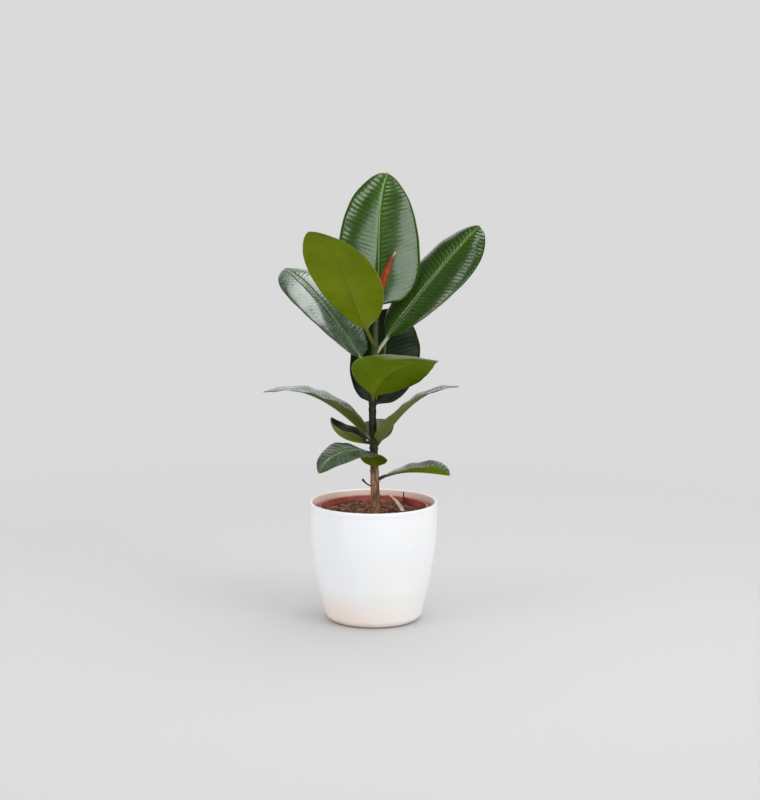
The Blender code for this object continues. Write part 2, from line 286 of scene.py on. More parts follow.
studio = {
    "cameraPlace": (0.0075, -2.4063, 0.6352), "lookAt": (0.0075, 0, 0.2592), "lens": 94.5,
    "backdrop": 0.70, "surround": 0.80, "mirrored": 0.03,
    "floorRadius": 1.3, "floorColour": (0.585, 0.585, 0.585), "floorDrop": 0.0002,
    "floorFade": (0.25, 0.92), "floorGrain": 0.985,    # shares of the radius and of the colour
    "lightsAim": (0, 0, 0.3),
    # light: place, size across and up, power, colour
    "lights": {
        "windowRight": ((1.9, -1.7, 1.25), (1.3, 1.7), 22, (1.0, 0.99, 0.97)),
        "overhead": ((0.3, 0.1, 2.1), (1.8, 1.8), 17, (0.98, 0.99, 1.0)),
        "fillLeft": ((-1.9, -1.2, 1.0), (1.4, 1.4), 11, (1.0, 0.98, 0.96)),
    },
    # pale cards that only glossy surfaces show
    "cards": {
        "cardRight": ((1.05, -2.05, 0.78), (1.9, 1.8), 44, (0.92, 1.0, 0.99)),
        "cardAbove": ((0.55, 0.52, 2.35), (1.5, 1.4), 46, (0.98, 1.0, 1.0)),
        "cardLeft": ((-0.86, -1.22, 2.0), (0.8, 0.7), 13, (0.96, 1.0, 0.96)),
        "cardBehind": ((-0.1, 2.3, 1.35), (2.6, 2.0), 19, (0.98, 0.99, 1.0)),
    },
}


def setCamera():
    camera = bpy.data.objects.new("camera", bpy.data.cameras.new("camera"))
    bpy.context.scene.collection.objects.link(camera)
    camera.location = studio["cameraPlace"]
    toward = Vector(studio["lookAt"]) - camera.location
    camera.rotation_euler = toward.to_track_quat("-Z", "Y").to_euler()
    camera.data.lens = studio["lens"]
    camera.data.sensor_width = 36
    bpy.context.scene.camera = camera


def setLights():
    for name, (place, size, power, colour) in {**studio["lights"], **studio["cards"]}.items():
        lamp = bpy.data.lights.new(name, "AREA")
        lamp.shape = "RECTANGLE"
        lamp.size, lamp.size_y = size
        lamp.energy = power
        lamp.color = colour
        thing = bpy.data.objects.new(name, lamp)
        bpy.context.scene.collection.objects.link(thing)
        thing.location = place
        toward = Vector(studio["lightsAim"]) - Vector(place)
        thing.rotation_euler = toward.to_track_quat("-Z", "Y").to_euler()
        thing.visible_camera = False
        thing.visible_diffuse = name in studio["lights"]
        thing.visible_glossy = name in studio["cards"]


def setWorld():
    world = bpy.data.worlds.new("studio")
    bpy.context.scene.world = world
    world.use_nodes = True
    nodes, links = world.node_tree.nodes, world.node_tree.links
    nodes.clear()
    rays = nodes.new("ShaderNodeLightPath")

    def shade(colour, strength):
        made = nodes.new("ShaderNodeBackground")
        made.inputs[0].default_value = (*colour, 1)
        made.inputs[1].default_value = strength
        return made.outputs[0]

    def pick(ray, others, chosen):
        made = nodes.new("ShaderNodeMixShader")
        for socket, source in zip(made.inputs, (rays.outputs[ray], others, chosen)):
            links.new(source, socket)
        return made.outputs[0]

    # what lights the piece, what shines in it, and what the camera sees behind it
    around = pick("Is Glossy Ray", shade((0.99, 0.99, 1.0), studio["surround"]),
                  shade((1, 1, 1), studio["mirrored"]))
    seen = pick("Is Camera Ray", around, shade((1, 1, 1), studio["backdrop"]))
    links.new(seen, nodes.new("ShaderNodeOutputWorld").inputs[0])


def floorMaterial():
    # matt, and thinner towards the disc's edge
    n = Nodes("studioFloor")
    low, high = [share * studio["floorRadius"] for share in studio["floorFade"]]
    fade = n.ease(n.length(n.coordinates()), low, high, 1.0, 0.0)
    grain = n.noise(n.coordinates(), 60)
    darker = tuple(studio["floorGrain"] * c for c in studio["floorColour"])
    return n.surface(Base_Color=n.blend(grain, studio["floorColour"], darker), Roughness=0.9,
                     Specular_IOR_Level=0.1, Alpha=fade)


def setFloor():
    deselectAll()
    bpy.ops.mesh.primitive_circle_add(vertices=96, radius=studio["floorRadius"], fill_type="NGON")
    floor = bpy.context.object
    floor.name = "studioFloor"
    floor.data.materials.append(floorMaterial())
    floor.location.z = -studio["floorDrop"]
    bpy.ops.object.transform_apply(location=True)


setCamera()
setLights()
setWorld()
setFloor()
bpy.context.scene.view_settings.view_transform = "Standard"
print("camera, lights and floor are set")


# the stem's line also places the leaves
stemForm = {
    # height, sideways place, radius
    "path": [(100, 3.0, 5.7), (125, 2.5, 5.6), (160, 1.6, 5.0), (200, 0.4, 4.5), (235, -1.2, 4.2),
             (270, -1.4, 4.0), (320, 1.5, 3.8), (372, 3.0, 3.4)],
    "scars": [134, 145, 190, 232, 272],      # where older leaves have dropped
    "swell": 0.6, "reach": 2.6,              # thickening at each node
    "rows": 400, "columns": 72,
    "bark": 0.22,                            # relief of the corky skin
    "youngFrom": 178, "greenFrom": 285,      # heights where the cork and the young bark end
    "cork": ((128, 88, 58), (186, 146, 114)), "corkFissure": (62, 42, 26), "speck": (176, 150, 122),
    "young": ((26, 26, 12), (50, 50, 22)), "youngFissure": (82, 66, 38),
    "green": ((40, 62, 20), (66, 88, 30)),
}


def stemCentre(height):
    rows = np.array(stemForm["path"])
    return np.array([np.interp(height, rows[:, 0], rows[:, 1]), 0.0, height])


# bearing 0 points to +X and 90 away from the viewer, pitch is the rise above level; bearing,
# pitch, roll and fold are given at the leaf's foot, middle and tip. Fold lifts the two halves
# and cup bends them back down. Tip narrows the end, wide is where the blade is widest. Tones: upper
# face, its light parts, underside, stalk, then the share of pale patches of painted sheen; dull takes
# the shine off, and paleEdge is the side (1 or -1) where a pale strip of painted sheen on the
# underside stands for the upper face showing past it.
leafShapes = {
    "leaf_top": dict(
        height=350, petiole=18, length=157, width=97, bearing=(58, 85, 14), pitch=(70, 82, 70),
        roll=(35, 8, 60), fold=(14, 14, 8), cup=30, tip=0.1, wide=0.32,
        upper=(44, 78, 0), light=(66, 104, 6), under=(92, 106, 8), stalk=(120, 128, 70)),
    "leaf_upper_front": dict(
        height=322, petiole=22, length=150, width=80, bearing=(210, 224, 214), pitch=(58, 61, 24),
        roll=(42, 26, 22), fold=(50, 16, 5), cup=36, tip=0.1, wide=0.52,
        upper=(42, 76, 8), light=(70, 102, 18), under=(108, 126, 0), stalk=(98, 96, 40)),
    "leaf_upper_left": dict(
        height=289, petiole=22, length=157, width=74, bearing=(150, 146, 130), pitch=(44, 48, 12),
        roll=(-8, -14, -10), fold=(34, 18, 6), cup=30, tip=0.1, wide=0.6,
        upper=(34, 62, 20), light=(60, 92, 34), under=(84, 98, 14), stalk=(140, 150, 120),
        paintedSheen=0.22),
    "leaf_upper_right": dict(
        height=311, petiole=25, length=173, width=80, bearing=(16, 20, 22), pitch=(52, 49, 42),
        roll=(16, 24, 26), fold=(28, 14, 6), cup=38, tip=0.1, wide=0.6,
        upper=(34, 64, 0), light=(60, 94, 12), under=(84, 98, 14), stalk=(168, 172, 132)),
    # its tones are darker than the other leaves': painted shade, as it hangs behind them
    "leaf_back": dict(
        height=247, petiole=8, length=122, width=84, bearing=(68, 72, 77), pitch=(40, 65, 78),
        roll=(10, 10, 10), fold=(15, 8, 0), cup=28, tip=0.1, wide=0.55,
        upper=(14, 30, 6), light=(30, 48, 14), under=(74, 88, 26), stalk=(90, 92, 60), dull=0.12),
    "leaf_front": dict(
        height=257, petiole=8, length=114, width=85, bearing=(288, 318, 342), pitch=(62, 28, 0),
        roll=(-25, -27, -14), fold=(26, 6, 4), cup=8, tip=0.5, wide=0.42,
        upper=(44, 72, 20), light=(72, 100, 34), under=(100, 124, 2), stalk=(104, 92, 52),
        paleEdge=-1.0),
    "leaf_left_long": dict(
        height=210, petiole=12, length=138, width=50, bearing=(186, 182, 178), pitch=(46, 30, -20),
        roll=(0, 0, 0), fold=(46, 22, 0), cup=15, tip=0.4, wide=0.42,
        upper=(48, 66, 44), light=(74, 92, 60), under=(88, 94, 40), stalk=(110, 100, 74), paintedSheen=0.7),
    "leaf_right_long": dict(
        height=202, petiole=8, length=124, width=47, bearing=(338, 350, 355), pitch=(52, 43, -4),
        roll=(0, 0, 0), fold=(40, 20, 0), cup=15, tip=0.4, wide=0.38,
        upper=(40, 46, 34), light=(66, 72, 52), under=(104, 114, 56), stalk=(70, 52, 42), paintedSheen=0.12),
    "leaf_left_small": dict(
        height=209, petiole=8, length=58, width=42, bearing=(165, 165, 165), pitch=(2, 20, 96),
        roll=(0, 0, 0), fold=(40, 40, 20), cup=10, tip=0.3, wide=0.5,
        upper=(24, 34, 12), light=(50, 62, 28), under=(110, 122, 46), stalk=(64, 54, 40), dull=0.3),
    "leaf_low_front": dict(
        height=175, petiole=5, length=107, width=52, bearing=(276, 214, 200), pitch=(68, 6, -68),
        roll=(0, -10, -24), fold=(12, 4, 6), cup=14, tip=0.4, wide=0.5,
        upper=(40, 62, 30), light=(70, 94, 54), under=(86, 108, 4), stalk=(112, 100, 50), paintedSheen=0.2),
    "leaf_low_right": dict(
        height=163, petiole=14, length=78, width=44, bearing=(350, 350, 350), pitch=(38, 2, -6),
        roll=(0, 0, 0), fold=(8, 26, 52), cup=10, tip=0.2, wide=0.62,
        upper=(50, 68, 44), light=(80, 98, 70), under=(112, 136, 2), stalk=(84, 58, 60)),
    "leaf_small_back": dict(
        height=203, petiole=8, length=60, width=38, bearing=(80, 84, 88), pitch=(35, 20, 10),
        roll=(0, 0, 0), fold=(15, 10, 5), cup=10, tip=0.3, wide=0.5,
        upper=(60, 72, 50), light=(84, 96, 70), under=(78, 92, 30), stalk=(84, 80, 56), dull=0.35),
}

leafForm = {
    "thick": 1.0, "stalkRadius": 2.3, "ribEnd": 0.6,
    "rowGap": 0.75, "columns": 80,           # fineness of the mesh
    "veinGap": 5.4, "veinRise": 0.3,         # side veins: spacing, and lean towards the tip
    "pillow": 0.40, "groove": 0.9,           # swelling between veins, depth of the midrib's groove
    "wave": 0.8, "waveGap": 27,              # lift and length of the waves along the edge
    # the big upper leaves are calmer: share of the waves, and of the swelling, that they keep
    "calm": ("leaf_top", "leaf_upper_front", "leaf_upper_left", "leaf_upper_right", "leaf_front"),
    "calmWave": 0.35,
    "even": ("leaf_upper_left", "leaf_upper_front", "leaf_front", "leaf_back", "leaf_left_small"),
    "evenPillow": 0.4,
    # tones of the upper face, then of the underside
    "grainTone": (20, 34, 10), "sheenPatchTone": (138, 154, 144), "ribTone": (112, 142, 60),
    "rimTone": (140, 150, 84), "tipTone": (104, 84, 56),
    "underVein": (120, 136, 20), "underFine": (60, 76, 12), "underGrain": (58, 70, 12),
    "underRib": (112, 112, 20), "underRim": (160, 172, 92), "pastEdgeSheen": (150, 164, 126),
}


def between(values, share):
    # the smooth curve through three values at shares 0, 0.5 and 1
    first, middle, last = values
    return (first * (1 - share) * (1 - 2 * share) + 4 * middle * share * (1 - share)
            + last * share * (2 * share - 1))


def leafLine(leaf, steps=80):
    # centre line, with the directions across the blade and out of its upper face
    share = np.linspace(0, 1, steps + 1)
    bearing, pitch, roll = [np.radians(between(leaf[key], share))
                            for key in ("bearing", "pitch", "roll")]
    ahead = np.cos(pitch)
    along = np.stack([ahead * np.cos(bearing), ahead * np.sin(bearing), np.sin(pitch)], 1)
    level = np.stack([-np.sin(bearing), np.cos(bearing), 0 * bearing], 1)
    above = np.cross(along, level)
    side = level * np.cos(roll)[:, None] + above * np.sin(roll)[:, None]
    up = above * np.cos(roll)[:, None] - level * np.sin(roll)[:, None]
    step = (leaf["petiole"] + leaf["length"]) / steps
    moves = np.vstack([[0, 0, 0], (along[1:] + along[:-1]) / 2 * step])
    return share, stemCentre(leaf["height"]) + np.cumsum(moves, 0), side, up


def halfWidth(leaf, share):
    # two half ellipses that meet at the widest place, with a small drip tip
    wide = leaf["wide"]
    inside = np.clip(share / 0.99, 0, 1)
    reach = np.where(inside < wide, (wide - inside) / wide, (inside - wide) / (1 - wide))
    taper = 1 - leaf["tip"] * np.clip((inside - 0.8) / 0.2, 0, 1) ** 1.5
    oval = leaf["width"] / 2 * np.sqrt(np.clip(1 - reach ** 2, 0, 1)) * taper
    return np.maximum(oval, 1.4 * np.clip((1 - share) / 0.02, 0, 1))


def placeLeaf(leaf, along, around, seed, waveShare, pillowShare):
    # every vertex: along the leaf, and around from its left edge over the top and back
    share, centres, sides, ups = leafLine(leaf)
    total = leaf["petiole"] + leaf["length"]
    foot = leaf["petiole"] / total
    start = 0.5 * leafForm["stalkRadius"] / total
    run = start + (1 - start) * (1 - (1 - along) ** 1.3)
    blade = np.clip((run - foot) / (1 - foot), 0, 1)
    centre, side, up = [np.stack([np.interp(run, share, rows[:, i]) for i in range(3)], 1)
                        for rows in (centres, sides, ups)]

    top = around <= 0.5
    across = np.where(top, 4 * around - 1, 3 - 4 * around)
    across = np.sign(across) * np.abs(across) ** 1.4      # closer together at the midrib
    reach = np.abs(across)
    half = np.maximum(halfWidth(leaf, blade), 0.05)
    half = np.where(blade < 0.05, np.maximum(half, 1.6), half)
    distance = blade * leaf["length"]
    away = reach * half

    # edge waves and a slow unevenness of the whole blade
    phase = 2 * np.pi * distance / leafForm["waveGap"] + seed * 1.7 + (across > 0) * 2.1
    fade = smoothStep(0.05, 0.3, blade) * (1 - smoothStep(0.9, 1.0, blade))
    wave = leafForm["wave"] * waveShare * np.sin(phase + 0.6 * np.sin(phase * 0.43)) * reach ** 3 * fade
    slow = np.array([lumpy(a / 22, d / 26, seed * 3.1)
                     for a, d in zip(across * half, distance)])
    wave += 0.7 * slow * fade * smoothStep(0, 0.25, reach)

    # side veins leave the midrib at an angle and bend towards the tip near the edge
    uneven = np.array([lumpy(d / 17, s * 1.5, seed * 5.3 + 9)
                       for d, s in zip(distance, across)])
    vein = (distance - away * leafForm["veinRise"] - 3.0 * reach ** 4) / leafForm["veinGap"]
    vein += 0.35 * uneven + np.where(across > 0, 0.4, 0.0)
    swell = np.sqrt(np.sin(np.pi * vein) ** 2 + 0.02)
    swell *= smoothStep(0.6, 3.5, away) * (1 - smoothStep(0.9, 0.99, reach)) * fade
    swell *= 0.7 + 0.6 * smoothStep(-0.3, 0.4, slow)
    pillow = leafForm["pillow"] * pillowShare

    # thickness, groove above and rib below
    rib = leafForm["stalkRadius"] + (leafForm["ribEnd"] - leafForm["stalkRadius"]) * run
    edge = np.sqrt(np.clip(1 - reach ** 12, 0, 1))
    body = leafForm["thick"] / 2 * edge * np.clip(half / 3, 0.1, 1)
    groove = leafForm["groove"] * np.exp(-(away / (0.9 * rib)) ** 2) * (1 - 0.5 * blade)
    ridge = rib * 0.95 * np.exp(-(away / (1.15 * rib)) ** 2) * np.clip(half / 4, 0, 1)
    above = body + pillow * (swell - 0.5 * fade * edge) - groove * edge
    below = body + ridge * edge - 0.35 * pillow * swell
    relief = np.where(top, above, -below) + wave

    fold = np.radians(between(leaf["fold"], blade))
    cup = math.radians(leaf["cup"])
    tilt = fold - cup * reach
    out = half * (np.sin(fold) - np.sin(tilt)) / cup
    lift = half * (np.cos(tilt) - np.cos(fold)) / cup
    face = up * np.cos(tilt)[:, None] - side * (np.sign(across) * np.sin(tilt))[:, None]
    flat = side * (np.sign(across) * out)[:, None] + up * lift[:, None] + face * relief[:, None]

    turn = 2 * np.pi * around
    thickFoot = rib * (1 + 0.25 * np.exp(-run * total / 5))
    dent = 1 - 0.18 * np.clip(np.sin(turn), 0, 1) ** 6
    stalk = (-side * np.cos(turn)[:, None] + up * (dent * np.sin(turn))[:, None]) * thickFoot[:, None]
    blend = smoothStep(0, 0.06, blade)[:, None]
    points = centre + stalk * (1 - blend) + flat * blend
    place = np.stack([across, (run * total - leaf["petiole"]) * mm, away * mm], 1)
    return points * mm, place, np.stack([vein, blade, half * mm], 1)


def addAttribute(thing, name, values):
    layer = thing.data.attributes.new(name, "FLOAT_VECTOR", "POINT")
    layer.data.foreach_set("vector", np.ascontiguousarray(values, dtype=np.float32).ravel())


def makeLeaf(name, leaf, seed):
    rows = int((leaf["petiole"] + leaf["length"]) / leafForm["rowGap"])
    thing, along, around = flatGrid(rows, leafForm["columns"])
    centres = np.empty(len(thing.data.polygons) * 3)
    thing.data.polygons.foreach_get("center", centres)
    waveShare = leafForm["calmWave"] if name in leafForm["calm"] else 1
    pillowShare = leafForm["evenPillow"] if name in leafForm["even"] else 1
    points, place, vein = placeLeaf(leaf, along, around, seed, waveShare, pillowShare)
    addAttribute(thing, "leafPlace", place)
    addAttribute(thing, "leafVein", vein)
    thing.data.materials.append(leafUpper(name + "Upper", leaf))
    thing.data.materials.append(leafUnder(name + "Under", leaf))
    below = centres.reshape(-1, 3)[:, 1] > 0
    thing.data.polygons.foreach_set("material_index", below.astype(np.int32))
    wrapAround(thing, points)
    finishPiece(thing, name + "_leaf", None, name)


def leafVeins(n):
    place = n.attribute("leafPlace")
    vein = n.attribute("leafVein")
    line = n.math("PINGPONG", vein[0], 0.5)               # 0 on a side vein, 0.5 between two
    fine = n.math("PINGPONG", n.math("MULTIPLY", vein[0], 4.0), 0.5)
    reach = n.math("ABSOLUTE", place[0])
    return place, vein, line, fine, reach


def leafUpper(name, leaf):
    n = Nodes(name)
    place, vein, line, fine, reach = leafVeins(n)
    spots = n.coordinates()
    cloud = n.noise(spots, 38, 3)
    grain = n.noise(spots, 420, 4, 0.6)
    green = n.blend(n.ease(cloud, 0.35, 0.7), paint(leaf["upper"], 0.86), paint(leaf["upper"], 1.15))
    green = n.tint(green, leaf["light"], place[2], 0.001, 0.016, 0.55, 0.0)
    green = n.tint(green, leaf["light"], line, 0.02, 0.16, 0.28, 0.0)
    green = n.tint(green, leaf["light"], fine, 0.0, 0.25, 0.10, 0.0)
    green = n.tint(green, leafForm["grainTone"], grain, 0.35, 0.75, 0.0, 0.16)
    # pale patches of painted sheen on the upper face
    if "paintedSheen" in leaf:
        patch = n.noise(spots, 95, 4, 0.65, 0.3)
        paintedSheen = leaf["paintedSheen"]
        green = n.tint(green, leafForm["sheenPatchTone"], patch, 0.40, 0.60, 0.35 * paintedSheen, paintedSheen)
    green = n.tint(green, leafForm["ribTone"], place[2], 0.0003, 0.0010, 0.75, 0.0)
    green = n.tint(green, leafForm["rimTone"], reach, 0.965, 0.998, 0.0, 0.6)
    green = n.tint(green, leafForm["tipTone"], vein[1], 0.965, 1.0, 0.0, 0.5)
    colour = n.tint(green, leaf["stalk"], place[1], -0.004, 0.006, 1.0, 0.0)
    relief = n.math("ADD", n.math("MULTIPLY", grain, 0.5), n.ease(fine, 0.0, 0.4, 0.0, 0.35))
    crisp = n.math("MULTIPLY", n.ease(line, 0.0, 0.3, 0.0, 1.0), n.ease(cloud, 0.42, 0.62, 0.1, 0.7))
    bump = n.bump(n.math("ADD", relief, crisp), 0.35, 0.0005)
    dull = leaf.get("dull", 0.0)
    rough = n.math("ADD", n.ease(cloud, 0.3, 0.75, 0.19 + dull, 0.28 + dull),
                   n.math("MULTIPLY", grain, 0.08))
    return n.surface(Base_Color=colour, Roughness=rough, Normal=bump, Coat_Weight=0.0 if dull else 0.4,
                     Coat_Roughness=0.13, Specular_IOR_Level=0.22 if dull else 0.5)


def leafUnder(name, leaf):
    n = Nodes(name)
    place, vein, line, fine, reach = leafVeins(n)
    spots = n.coordinates()
    cloud = n.noise(spots, 30, 3)
    grain = n.noise(spots, 500, 4, 0.6)
    olive = n.blend(n.ease(cloud, 0.3, 0.7), paint(leaf["under"], 0.9), paint(leaf["under"], 1.12))
    olive = n.tint(olive, leafForm["underVein"], line, 0.0, 0.12, 0.22, 0.0)
    olive = n.tint(olive, leafForm["underFine"], fine, 0.0, 0.3, 0.08, 0.0)
    olive = n.tint(olive, leafForm["underGrain"], grain, 0.3, 0.8, 0.0, 0.22)
    olive = n.tint(olive, leafForm["underRib"], place[2], 0.0006, 0.0024, 0.4, 0.0)
    olive = n.tint(olive, leafForm["underRim"], reach, 0.965, 0.998, 0.0, 0.7)
    colour = n.tint(olive, leaf["stalk"], place[1], -0.004, 0.010, 1.0, 0.0)
    bump = n.bump(n.math("ADD", grain, n.ease(line, 0.0, 0.2, 0.5, 0.0)), 0.25, 0.0003)
    # a pale strip of painted sheen, standing for the upper face showing past the underside
    if "paleEdge" in leaf:                                # only near the tip
        past = n.ease(n.math("MULTIPLY", place[0], leaf["paleEdge"]), 0.42, 0.62)
        past = n.math("MULTIPLY", past, n.ease(vein[1], 0.5, 0.7))
        colour = n.blend(past, colour, paint(leafForm["pastEdgeSheen"]))
    return n.surface(Base_Color=colour, Roughness=n.ease(grain, 0.3, 0.8, 0.5, 0.62), Normal=bump,
                     Specular_IOR_Level=0.12)


for number, (name, leaf) in enumerate(leafShapes.items()):
    makeLeaf(name, leaf, number + 1)
print("leaves:", len(leafShapes))


def barkMaterial(name, youngFrom, greenFrom):
    # corky brown at the foot, then young dark bark, then green; the heights are in millimetres
    form = stemForm
    youngFrom, greenFrom = youngFrom * mm, greenFrom * mm
    n = Nodes(name)
    spots = n.coordinates()
    long = n.coordinates((1, 1, 0.22))
    fissure = n.noise(long, 420, 4, 0.65, 0.4)
    patch = n.noise(long, 130, 3)
    speck = n.noise(spots, 700, 3)
    cork = n.mottle(form["cork"], patch, 0.35, 0.65)
    cork = n.tint(cork, form["corkFissure"], fissure, 0.38, 0.6, 0.8, 0.0)
    cork = n.tint(cork, form["speck"], speck, 0.62, 0.72, 0.0, 0.7)
    young = n.mottle(form["young"], patch, 0.35, 0.7)
    young = n.tint(young, form["youngFissure"], fissure, 0.45, 0.7, 0.0, 0.5)
    green = n.mottle(form["green"], patch, 0.3, 0.7)
    ragged = n.math("MULTIPLY", n.math("SUBTRACT", patch, 0.5), 0.03)
    up = n.math("ADD", n.axes(spots)[2], ragged)
    colour = n.blend(n.ease(up, youngFrom - 0.012, youngFrom + 0.016), cork, young)
    colour = n.blend(n.ease(up, greenFrom - 0.02, greenFrom + 0.02), colour, green)
    relief = n.math("ADD", fissure, n.math("MULTIPLY", speck, 0.35))
    return n.surface(Base_Color=colour, Roughness=n.ease(up, youngFrom, greenFrom, 0.85, 0.5),
                     Normal=n.bump(relief, 0.6, 0.0007), Specular_IOR_Level=0.35)


def makeStem():
    path = np.array(stemForm["path"], float)
    nodes = np.array([leaf["height"] for leaf in leafShapes.values()] + stemForm["scars"], float)
    bottom, top = path[0, 0], path[-1, 0]

    def place(along, around):
        height = bottom + (top - bottom) * along
        turn = 2 * np.pi * around
        radius = np.interp(height, path[:, 0], path[:, 2])
        # each node is a low ring that slopes a little round the stem
        for number, node in enumerate(nodes):
            slope = 0.9 * np.cos(turn + number * 2.4)
            near = np.abs(height - node - slope) / stemForm["reach"]
            radius = radius + stemForm["swell"] * 0.9 * np.clip(1 - near ** 2, 0, 1) ** 1.5
            radius = radius - 0.22 * np.exp(-((height - node - slope) / 0.45) ** 2)
        cork = 1 - smoothStep(165, 215, height)
        for i, (h, t) in enumerate(zip(height, turn)):
            x, y = 5 * math.cos(t), 5 * math.sin(t)
            rough = lumpy(x / 1.6, y / 1.6, h / 6.5)
            rough += 0.5 * lumpy(x, y, h / 2.1)
            radius[i] += stemForm["bark"] * rough * (0.35 + cork[i])
        centre = np.interp(height, path[:, 0], path[:, 1])
        return np.stack([centre + radius * np.cos(turn), radius * np.sin(turn), height], 1) * mm

    bark = barkMaterial("stemBark", stemForm["youngFrom"], stemForm["greenFrom"])
    finishPiece(wrapGrid(stemForm, place), "stem_bark", bark, "stem")


makeStem()


sheathForm = {
    "path": [(3.0, 0.0, 372.6), (3.2, 0.0, 376), (5.4, -0.6, 384), (9.2, -1.4, 394), (14.0, -2.0, 407),
             (19.5, -2.2, 420), (25.5, -2.0, 432)],
    "radii": [3.0, 3.8, 4.8, 4.9, 4.0, 2.6, 0.5],
    "rows": 140, "columns": 48, "ridges": 7, "ridge": 0.05, "twist": 0.9, "rough": 0,
    "red": ((140, 48, 6), (184, 82, 16)), "blush": (150, 40, 18),
    "neck": (140, 46, 26), "tip": (206, 186, 140), "base": (120, 66, 24),
}


def tubePlace(form):
    # a tube along a smooth path, with twisted ridges along it and a rough skin
    at = pathRows(form["path"], form["radii"], (0, 1, 0))

    def place(along, around):
        centre, across, above, radius = at(along)
        radius = np.maximum(radius, 0.15)
        turn = 2 * np.pi * around + form["twist"] * along
        shape = radius * (1 + form["ridge"] * np.cos(form["ridges"] * turn) * np.sin(np.pi * along))
        if form["rough"]:
            skin = [lumpy(3 * math.cos(t), 3 * math.sin(t), 14 * a)
                    for t, a in zip(2 * np.pi * around, along)]
            shape = shape + form["rough"] * np.array(skin)
        out = across * np.cos(turn)[:, None] + above * np.sin(turn)[:, None]
        return (centre + out * shape[:, None]) * mm

    return place


def sheathMaterial():
    form = sheathForm
    n = Nodes("budSheathSkin")
    spots = n.coordinates()
    streak = n.noise(n.coordinates((1, 1, 0.15)), 500, 3)
    cloud = n.noise(spots, 120, 3)
    red = n.mottle(form["red"], streak, 0.35, 0.65)
    red = n.tint(red, form["blush"], cloud, 0.4, 0.75, 0.0, 0.6)
    up = n.axes(spots)[2]
    colour = n.tint(red, form["neck"], up, 0.404, 0.426)
    colour = n.tint(colour, form["tip"], up, 0.424, 0.432)
    colour = n.tint(colour, form["base"], up, 0.374, 0.384, 1.0, 0.0)
    return n.surface(Base_Color=colour, Roughness=0.45, Specular_IOR_Level=0.25,
                     Normal=n.bump(streak, 0.3, 0.0004))


def makeSheath():
    thing = wrapGrid(sheathForm, tubePlace(sheathForm))
    finishPiece(thing, "bud_sheath_skin", sheathMaterial(), "bud_sheath")


makeSheath()

# both are corky all the way
twigForms = {
    "twig_stub": dict(
        path=[(1.6, 0.0, 156), (-3.6, -1.0, 158), (-9.0, -1.6, 161.5), (-13.0, -2.0, 166)],
        radii=[1.3, 0.9, 0.9, 1.5], rows=60, columns=20, ridges=5, ridge=0.06, twist=0.5, rough=0.14),
    "soil_stick": dict(
        path=[(36.4, 45.5, 122), (36.0, 45, 133), (35.5, 44.8, 142)],
        radii=[0.8, 0.8, 0.6], rows=40, columns=14, ridges=5, ridge=0.06, twist=0.5, rough=0.14),
}


def makeTwigs():
    for node, form in twigForms.items():
        name = node + "_bark"
        thing = wrapGrid(form, tubePlace(form))
        finishPiece(thing, name, barkMaterial(name + "Tone", 60, 500), node)


makeTwigs()

stripForm = {
    "path": [(10, 40, 128.6), (14, 34, 138), (18, 29, 141), (25, 16, 138), (31, 4, 132.5), (34, -6, 128.9)],
    "widths": [1.0, 1.6, 2.4, 4.0, 5.0, 4.6], "thick": 0.8, "rows": 110, "columns": 28,
    "curl": 0.35, "ribs": 9, "rib": 0.1,     # dry edges roll a little; ribs run lengthwise
    "husk": ((186, 160, 148), (222, 204, 194)), "stain": (150, 118, 98),
}


def huskMaterial():
    n = Nodes("dryHusk")
    long = n.noise(n.coordinates((1, 0.35, 1)), 650, 3, 0.6)
    cloud = n.noise(n.coordinates(), 90, 3)
    husk = n.mottle(stripForm["husk"], long, 0.35, 0.65)
    husk = n.tint(husk, stripForm["stain"], cloud, 0.5, 0.8, 0.0, 0.6)
    return n.surface(Base_Color=husk, Roughness=0.8, Specular_IOR_Level=0.3,
                     Normal=n.bump(long, 0.5, 0.0004))


def makeStrip():
    form = stripForm
    at = pathRows(form["path"], form["widths"], (0, 0, 1))

    def place(along, around):
        centre, across, above, wide = at(along)
        wide = np.maximum(wide, 0.4) / 2
        turn = 2 * np.pi * around
        sweep = np.cos(turn)
        curl = form["curl"] * wide * sweep ** 2
        ribs = form["rib"] * np.cos(form["ribs"] * sweep)
        thick = form["thick"] / 2 * np.sin(turn) * (0.75 + ribs)
        return (centre + across * (sweep * wide)[:, None] + above * (curl * 0.6 + thick)[:, None]) * mm

    finishPiece(wrapGrid(form, place), "dry_strip_husk", huskMaterial(), "dry_strip")


makeStrip()
print("stem, sheath and dry bits are in place")


cachepotForm = {
    "height": 140, "wall": 4, "floor": 4, "foot": 45, "corner": 11, "sides": 192, "wallRings": 30,
    # height and radius outside, from the lip down to the rounding of the foot
    "outside": [(137.5, 75), (107, 74.3), (80, 71.2), (52, 66.6), (38, 63.9), (25, 60.8)],
    "cornerStep": 3.4,                       # how much narrower the wall gets before it rounds
    "floorBend": 2, "floorRise": 2.5, "disc": 10,
    # a slightly proud band under the lip: depth, height of its radius, step and bevel at its foot
    "rimBand": 5.5, "bandHeight": 132, "bandStep": 0.25, "bandBevel": 0.8, "bandGap": 1.5,
    "bandUnderLip": 0.6, "straightAbove": 100,
    # the warm tone at the foot is a painted reflection of the floor
    "glaze": ((241, 243, 247), (244, 244, 243)), "smear": (228, 230, 230), "warmFootReflection": (244, 218, 200),
    # the pink of the inside wall is painted bounce light from the red pot
    "speck": (214, 206, 196), "insideWallBounce": (250, 224, 212),
}


def potRadius(height):
    rows = sorted(cachepotForm["outside"])
    return float(np.interp(height, [row[0] for row in rows], [row[1] for row in rows]))


def smoothWall(heights):
    form = cachepotForm
    rows = smoothPath(form["outside"], 120)
    rows = rows[np.argsort(rows[:, 0])]
    return [(float(np.interp(h, rows[:, 0], rows[:, 1])) - form["bandStep"] * (h > form["straightAbove"]),
             float(h)) for h in heights]


